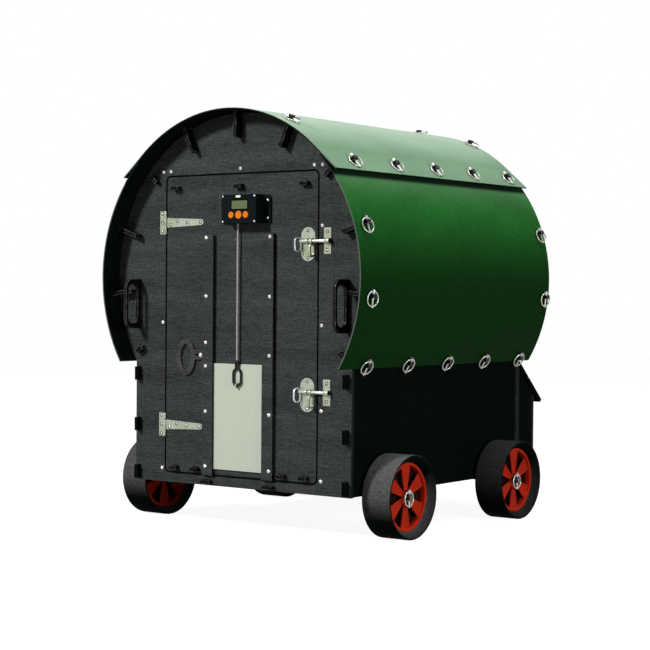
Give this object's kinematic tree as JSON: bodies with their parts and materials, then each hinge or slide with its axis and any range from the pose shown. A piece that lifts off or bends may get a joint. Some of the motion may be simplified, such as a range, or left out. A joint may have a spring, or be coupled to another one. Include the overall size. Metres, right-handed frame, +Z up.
{
  "type": "chicken tractor",
  "caption": "Bow-top mobile hen house on wheels with a hinged front door, a cord-lifted pop door, slide bolts, carrying handles and a rear nest box with a lifting lid.",
  "frame": {"origin": "on the ground under the middle of the bounding box", "axes": "+X to the right of someone facing the front door, +Y from the front door to the nest box, +Z up"},
  "size_m": [1.047, 1.2008, 1.2912],
  "materials": {
    "board": "satin, fine grained",
    "dark_board": "satin",
    "black_plastic": "smooth",
    "roof_sheet": "semi-gloss",
    "zinc": "zinc plated",
    "pop_plate": "matt",
    "black_metal": "satin black",
    "cord": "braided",
    "opener": "satin",
    "display": "clear window",
    "sensor": "satin",
    "button": "soft gloss",
    "tyre": "matt",
    "hub": "smooth moulded"
  },
  "bodies": {
    "coop": {"front_panel": "board", "rear_panel": "board", "wall_left": "dark_board", "wall_right": "dark_board", "floor_panel": "board", "rib_boards": "black_plastic", "lap_boards": "black_plastic", "roof_left": "roof_sheet", "roof_right": "roof_sheet", "roof_ridge": "roof_sheet", "roof_linch_pins": "zinc", "handle_left": "black_plastic", "handle_right": "black_plastic", "door_stop": "board", "coop_screws": "zinc", "hinge_flaps": "zinc", "bolt_keeps": "zinc", "axle_front": "zinc", "axle_rear": "zinc", "axle_washers": "zinc", "axle_linch_pins": "zinc", "nest_cheeks": "board", "nest_back": "board", "nest_floor": "board", "nest_top": "dark_board", "nest_hinge_pins": "zinc"},
    "main_door": {"door_panel": "board", "rail_left": "board", "rail_right": "board", "ledge_top": "black_plastic", "ledge_bottom": "black_plastic", "opener_case": "opener", "opener_cover": "opener", "opener_display": "display", "opener_sensor": "sensor", "lift_cord": "cord", "hinge_straps": "zinc", "bolt_plates": "zinc", "door_screws": "zinc"},
    "pop_door": {"pop_plate": "pop_plate", "plate_eye": "zinc", "spring_hook": "black_metal"},
    "gate": {"hook_gate": "black_metal"},
    "lock": {"slide_lock": "board"},
    "upper_bolt": {"bolt_upper": "zinc"},
    "lower_bolt": {"bolt_lower": "zinc"},
    "left_button": {"button_left": "button"},
    "middle_button": {"button_middle": "button"},
    "right_button": {"button_right": "button"},
    "lid": {"nest_lid": "dark_board"},
    "wheel_front_left": {"tyre_front_left": "tyre", "hub_front_left": "hub"},
    "wheel_front_right": {"tyre_front_right": "tyre", "hub_front_right": "hub"},
    "wheel_rear_left": {"tyre_rear_left": "tyre", "hub_rear_left": "hub"},
    "wheel_rear_right": {"tyre_rear_right": "tyre", "hub_rear_right": "hub"}
  },
  "joints": [
    {"name": "main_door_hinge", "type": "hinge", "parent": "coop", "child": "main_door", "pos_m": [-0.2965, -0.53143, 0.622], "axis": [0, 0, -1], "range_deg": [0, 120]},
    {"name": "pop_door_slide", "type": "slide", "parent": "main_door", "child": "pop_door", "axis": [0, 0, 1], "range_m": [0, 0.37], "deforming": ["lift_cord"]},
    {"name": "hook_gate_hinge", "type": "hinge", "parent": "pop_door", "child": "gate", "pos_m": [0.015, -0.53743, 0.455], "axis": [0, -1, 0], "range_deg": [0, 28], "stiffness_Nm_per_rad": 0.05},
    {"name": "lock_slide", "type": "slide", "parent": "main_door", "child": "lock", "axis": [1, 0, 0], "range_m": [0, 0.02]},
    {"name": "upper_bolt_slide", "type": "slide", "parent": "main_door", "child": "upper_bolt", "axis": [1, 0, 0], "range_m": [-0.02, 0.017]},
    {"name": "lower_bolt_slide", "type": "slide", "parent": "main_door", "child": "lower_bolt", "axis": [1, 0, 0], "range_m": [-0.02, 0.017]},
    {"name": "left_button_press", "type": "slide", "parent": "main_door", "child": "left_button", "axis": [0, 1, 0], "range_m": [0, 0.0015], "stiffness_N_per_m": 800},
    {"name": "middle_button_press", "type": "slide", "parent": "main_door", "child": "middle_button", "axis": [0, 1, 0], "range_m": [0, 0.0015], "stiffness_N_per_m": 800},
    {"name": "right_button_press", "type": "slide", "parent": "main_door", "child": "right_button", "axis": [0, 1, 0], "range_m": [0, 0.0015], "stiffness_N_per_m": 800},
    {"name": "nest_lid_hinge", "type": "hinge", "parent": "coop", "child": "lid", "pos_m": [0, 0.51857, 0.44919], "axis": [1, 0, 0], "range_deg": [0, 135]},
    {"name": "wheel_front_left_spin", "type": "hinge", "parent": "coop", "child": "wheel_front_left", "pos_m": [-0.4735, -0.35543, 0.125], "axis": [1, 0, 0], "continuous": true},
    {"name": "wheel_front_right_spin", "type": "hinge", "parent": "coop", "child": "wheel_front_right", "pos_m": [0.4735, -0.35543, 0.125], "axis": [1, 0, 0], "continuous": true},
    {"name": "wheel_rear_left_spin", "type": "hinge", "parent": "coop", "child": "wheel_rear_left", "pos_m": [-0.4735, 0.27057, 0.125], "axis": [1, 0, 0], "continuous": true},
    {"name": "wheel_rear_right_spin", "type": "hinge", "parent": "coop", "child": "wheel_rear_right", "pos_m": [0.4735, 0.27057, 0.125], "axis": [1, 0, 0], "continuous": true}
  ]
}
